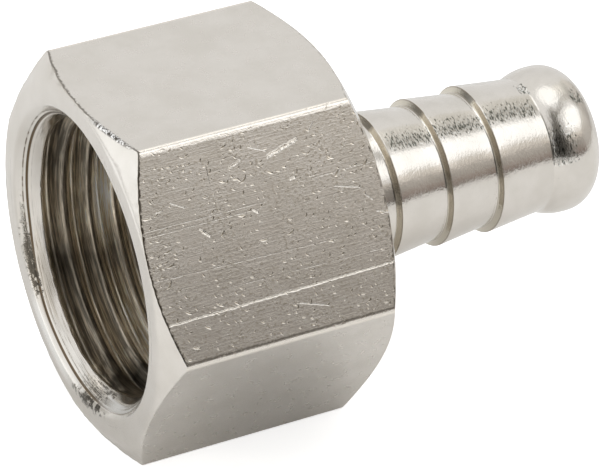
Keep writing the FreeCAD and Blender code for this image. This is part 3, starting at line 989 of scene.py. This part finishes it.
barbLook = {
    "light": (0.745, 0.71, 0.66),
    "deep": (0.69, 0.655, 0.60),
    "roughness": (0.10, 0.16),
    "ringHeight": 0.0014,
    "ringFineness": 8.0,
    "ringAround": 0.2,
    "rolledRadius": 4.8,
    "streakHeight": 0.014,
    "streakAcross": 6.0,
    "streakAround": 3.2,
    "stepSpan": (0.18, 0.42),       # where the mark of the steps begins to count, and counts in full
    "stepWaver": (0.3, 8.0),        # how much the streaks shake it, and the angle
    "stepShadeTint": (1.0, 0.925, 0.77),
    # painted light and shade: how light each barb's step is, by angle from the far side over the top, the near side and
    # underneath
    "stepShadeByAngle": ((60, 0.66), (74, 0.50), (85, 0.19), (94, 0.19), (99, 0.86), (126, 0.88), (133, 0.56), (146, 0.44),
                  (153, 0.21), (164, 0.20), (170, 0.54), (180, 0.60), (215, 0.56), (300, 0.66)),
    "stepGlint": (0.96, 0.94, 0.89),
    "glintSpan": (99, 126),
    "stepLineShade": (0.22, 0.175, 0.13),
    "darkStrokeReflection": (0.145, 0.145, 0.12),
    "lightFleckReflection": (0.90, 0.89, 0.85),
    "hatchAcross": 7.5,
    "hatchAround": 2.4,
    # where a painted reflection breaks the shine into dark strokes and light flecks: angles, span along the part, and
    # how densely
    "hatches": (((99, 122.5), (21.2, 32.3), 0.176), ((124, 168), (32.6, 34.3), 0.130),
                ((78, 100), (32.0, 32.7), 0.190), ((106, 123), (34.9, 35.9), 0.205)),
}


def makeBarbed():
    look = barbLook
    paint = Paint("barbedNickel", look)
    paint.drift(0.5)
    x, angle, _, arc, _ = paint.rings()
    streaks = grain(joined(x * look["streakAcross"], arc * look["streakAround"]), 1.0, 3.0, 0.65)
    paint.lift(streaks, look["streakHeight"])
    # painted shade on the foot and face of each barb's step, lighter or darker by angle, with a darker painted line at
    # both sides that turns into a painted glint in one span of angles
    waver = streaks - 0.5
    shakeStep, shakeTurn = look["stepWaver"]
    step = paint.mark("pocket") + waver * shakeStep
    around = sums("FLOORED_MODULO", angle, 360.0) + waver * shakeTurn
    onStep, lined = ranged(step, *look["stepSpan"]), between(step, *look["stepSpan"], 0.07)
    stepShading = tonesRound(around, look["stepShadeByAngle"], look["stepShadeTint"])
    paint.colour = mixedColour(onStep * 0.85, paint.colour, stepShading)
    glint = between(around, *look["glintSpan"], 3.0)
    paint.tint(lined * ranged(glint, 0.0, 1.0, 0.6, 0.0), look["stepLineShade"])
    paint.tint(lined * glint, look["stepGlint"])
    # painted reflection of a dark band, broken into dark strokes and light flecks round the barbs and on the bead
    stroke = joined(x * look["hatchAcross"], arc * look["hatchAround"])
    hatch, flecks = grain(stroke, 1.0, 2.5, 0.62), grain(scaled(stroke, 1.7), 1.0, 2.0, 0.6)
    ragged = angle + waver * 14.0
    for (start, end), alongSpan, density in look["hatches"]:
        there = ranged(ragged, start, start * 0.25 + end * 0.75) * falling(ragged, end - 1.0, end + 2.0)
        there = there * between(x, *alongSpan, 0.15) * (1.0 - onStep)
        shows = ranged(there, 0.0, 0.2)
        paint.tint(ranged(hatch + there * density, 0.655, 0.725) * shows, look["darkStrokeReflection"])
        paint.tint(ranged(flecks + there * 0.15, 0.66, 0.72) * shows * 0.8, look["lightFleckReflection"])
    return paint.finish(paint.place, 1.8)


for material in (makeDrawn("drawnNickel", False), makeTurned(), makeThreaded(), makeBarbed(),
                 makeDrawn("scratchedNickel", True)):
    mesh.materials.append(material)
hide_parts("hose_tail")
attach(body, "root")
print("finishes made")

# the studio: white floor, soft panels and curved cards that the metal mirrors
studio = {
    "floorLevel": -12.0,
    "floorReach": 900.0,
    "floorShadowTones": (0.60, 0.91),         # painted shadow: the tone where the part's near side stands, and beyond
    "floorStand": (10.5, -7.4),
    "floorEase": (1.0, 9.5),
    "floorFootShadow": (-3.0, 4.0, 0.06),     # painted shadow under the mouth's edge, between these places along X, by this much
    "floorFarShade": (0.0, 12.0, 0.87),      # and painted shade on the far side
    # and painted shade further out along X, past the middle of the tail
    "floorTailShade": (24.0, 44.0, 0.92),
    "cameraLift": 0.68,
    "glossLift": 0.065,
    "worldCamera": 1.0,
    "worldGloss": (0.86, 0.96),         # low down, and overhead
    "worldDiffuse": 1.24,
    "panelDistance": 380.0,
    "panelTint": (0.97, 1.0, 1.03),     # the panels are seen on top of the room behind them
    "cardDistance": 420.0,
    "cardColumns": 24,
    "cardRows": 20,
}
panels = {
    "keyPanel": {"azimuth": 49, "elevation": 44.5, "width": 262, "height": 192, "level": 0.60},
    "topPanel": {"azimuth": 134, "elevation": 76.5, "width": 235, "height": 235, "level": 0.56},
}
# each card has its azimuths, elevations and tint, the levels from its lower edge up, what multiplies them across
# it, and its distance if that is another than the studio's
cards = (
    ("darkCard", (-24, 9), (-1, 80), (1.0, 0.95, 0.86),
     ((0.0, 0.07), (0.15, 0.045), (0.40, 0.045), (0.52, 0.12), (0.62, 0.16), (0.85, 0.15), (1.0, 0.40)),
     ((0.0, 1.1), (0.75, 1.0), (1.0, 1.7))),
    ("warmCard", (9, 46), (-2, 31), (1.0, 0.94, 0.87),
     ((0.0, 0.26), (0.15, 0.33), (0.33, 0.40), (0.52, 0.47), (0.66, 0.46), (0.70, 0.53),
      (0.735, 0.70), (0.765, 0.88), (0.88, 0.95), (1.0, 1.0)),
     ((0.0, 0.34), (0.25, 0.55), (0.43, 0.72), (0.62, 0.86), (0.81, 1.0), (1.0, 1.1))),
    ("sideCard", (46, 125), (-6, 31), (1.0, 0.96, 0.91),
     ((0.0, 0.52), (0.25, 0.56), (0.50, 0.62), (0.73, 0.70), (1.0, 0.84)),
     ((0.0, 0.92), (0.3, 1.0), (0.45, 1.05), (0.62, 0.88), (1.0, 1.15))),
    ("gapCard", (82, 128), (16, 66), (1.0, 0.98, 0.93),
     ((0.0, 1.3), (0.2, 1.0), (0.6, 1.1), (0.75, 1.5), (1.0, 1.6)),
     ((0.0, 0.72), (0.10, 0.44), (0.38, 0.44), (0.50, 0.55), (0.70, 0.62), (1.0, 0.80))),
    ("leftCard", (-142, -90), (-16, 56), (0.985, 1.0, 1.01),
     ((0.0, 1.20), (0.3, 1.28), (0.45, 1.32), (0.55, 1.08), (1.0, 1.1)),
     ((0.0, 0.62), (0.25, 1.0), (0.8, 1.0), (1.0, 0.75))),
    ("lipCard", (-142, -96), (-15, 0), (0.985, 1.0, 1.01),
     ((0.0, 1.0), (0.3, 1.28), (1.0, 1.22)),
     ((0.0, 0.70), (0.25, 1.0), (0.8, 1.0), (1.0, 0.80)), 46),
    ("nearCard", (-90, -30), (-8, 46), (1.0, 0.97, 0.92),
     ((0.0, 0.95), (0.3, 0.88), (0.48, 0.68), (0.7, 0.60), (1.0, 0.60)),
     ((0.0, 1.5), (0.25, 1.1), (1.0, 1.0))),
    ("mauveCard", (24, 46), (-3, 9), (1.0, 0.84, 0.76),
     ((0.0, 0.06), (0.18, 0.10), (0.34, 0.27), (1.0, 0.40)),
     ((0.0, 0.8), (0.4, 1.0), (1.0, 1.05)), 400),
    ("farCard", (-168, -142), (-8, 42), (1.0, 0.98, 0.94),
     ((0.0, 0.55), (0.4, 0.45), (0.55, 0.80), (1.0, 0.92)),
     ((0.0, 1.5), (0.4, 1.0), (1.0, 1.2))),
    ("highCard", (-6, 94), (64, 71), (1.0, 0.97, 0.93),
     ((0.0, 0.55), (0.5, 0.46), (1.0, 0.55)),
     ((0.0, 0.9), (1.0, 1.0))),
)


def makePanel(name, azimuth, elevation, width, height, level):
    lamp = bpy.data.lights.new(name, "AREA")
    lamp.shape = "ELLIPSE"
    lamp.size, lamp.size_y = width * metres, height * metres
    lamp.color = studio["panelTint"]
    lamp.energy = level * math.pi * math.pi * width * height / 4 * metres ** 2     # level times pi times the area
    item = addItem(name, lamp)
    place = towards(azimuth, elevation) * studio["panelDistance"]
    item.matrix_world = Matrix.Translation(place * metres) @ place.to_track_quat("Z", "Y").to_matrix().to_4x4()
    item.visible_camera = False


def rayKinds(tree):
    # one for what the camera sees itself, and one for what it sees mirrored or through something
    path = {out.name: Signal(out) for out in tree.nodes.new("ShaderNodeLightPath").outputs}
    return path["Is Camera Ray"], sums("MAXIMUM", path["Is Glossy Ray"], path["Is Transmission Ray"])


def makeCard(name, azimuths, elevations, tint, levels, sides, distance=studio["cardDistance"]):
    material, tree = newMaterial(name)
    tree.nodes.clear()
    colour = vectors("MULTIPLY", toneRamp(readMark(tree, "upward"), levels, tint),
                     toneRamp(readMark(tree, "across"), sides))
    glow = addNode("ShaderNodeEmission", {"Color": colour})
    feed(Signal(glow.outputs[0]), tree.nodes.new("ShaderNodeOutputMaterial").inputs["Surface"])
    columns, rows = studio["cardColumns"], studio["cardRows"]
    marks = {"across": [column / columns for row in range(rows + 1) for column in range(columns + 1)],
             "upward": [row / rows for row in range(rows + 1) for column in range(columns + 1)]}
    points = [towards(azimuths[0] + (azimuths[1] - azimuths[0]) * across,
                      elevations[0] + (elevations[1] - elevations[0]) * upward) * distance
              for across, upward in zip(marks["across"], marks["upward"])]
    corners = [row * (columns + 1) + column for row in range(rows) for column in range(columns)]
    faces = [(corner, corner + 1, corner + columns + 2, corner + columns + 1) for corner in corners]
    data = makeMesh(name, points, faces, marks)
    data.materials.append(material)
    item = addItem(name, data)
    item.visible_camera = False


def makeFloor():
    material, tree = newMaterial("paleFloor")
    shader = tree.nodes["Principled BSDF"].inputs
    place = objectPlace(tree)
    x, y, _ = parts(place)
    # the floor's colour carries a painted shadow round the part and painted shade beyond it
    away = vectors("DISTANCE", place, (*studio["floorStand"], studio["floorLevel"]))
    near, beyond = ((tone, tone, tone, 1) for tone in studio["floorShadowTones"])
    start, end, dim = studio["floorFootShadow"]
    shade = 1.0 - between(x, start, end, 1.5) * dim
    for value, (start, end, dim) in ((y, studio["floorFarShade"]), (x, studio["floorTailShade"])):
        shade = shade * ranged(value, start, end, 1.0, dim)
    feed(scaled(mixedColour(ranged(away, *studio["floorEase"]), near, beyond), shade), shader["Base Color"])
    feed(0.9, shader["Roughness"])
    feed(0.1, shader["Specular IOR Level"])
    seen, mirrored = rayKinds(tree)
    feed((1, 1, 1, 1), shader["Emission Color"])
    feed(seen * studio["cameraLift"] + mirrored * studio["glossLift"], shader["Emission Strength"])
    reach, level = studio["floorReach"], studio["floorLevel"]
    corners = [(-reach, -reach, level), (reach, -reach, level), (reach, reach, level), (-reach, reach, level)]
    data = makeMesh("paleFloor", corners, [(0, 1, 2, 3)], {})
    data.materials.append(material)
    addItem("paleFloor", data)


def makeWorld():
    world = bpy.data.worlds.new("paleRoom")
    scene.world = world
    world.use_nodes = True
    tree = world.node_tree
    background = tree.nodes["Background"].inputs
    feed((1, 1, 1, 1), background["Color"])
    seen, mirrored = rayKinds(tree)
    upward = parts(Signal(tree.nodes.new("ShaderNodeTexCoord").outputs["Generated"]))[2]
    gloss = ranged(upward, 0.3, 0.9, *studio["worldGloss"])
    level = ranged(mirrored, 0.0, 1.0, studio["worldDiffuse"], gloss, smooth=False)
    feed(ranged(seen, 0.0, 1.0, level, studio["worldCamera"], smooth=False), background["Strength"])


makeWorld()
makeFloor()
for name, panel in panels.items():
    makePanel(name, **panel)
for card in cards:
    makeCard(*card)
print("studio set")
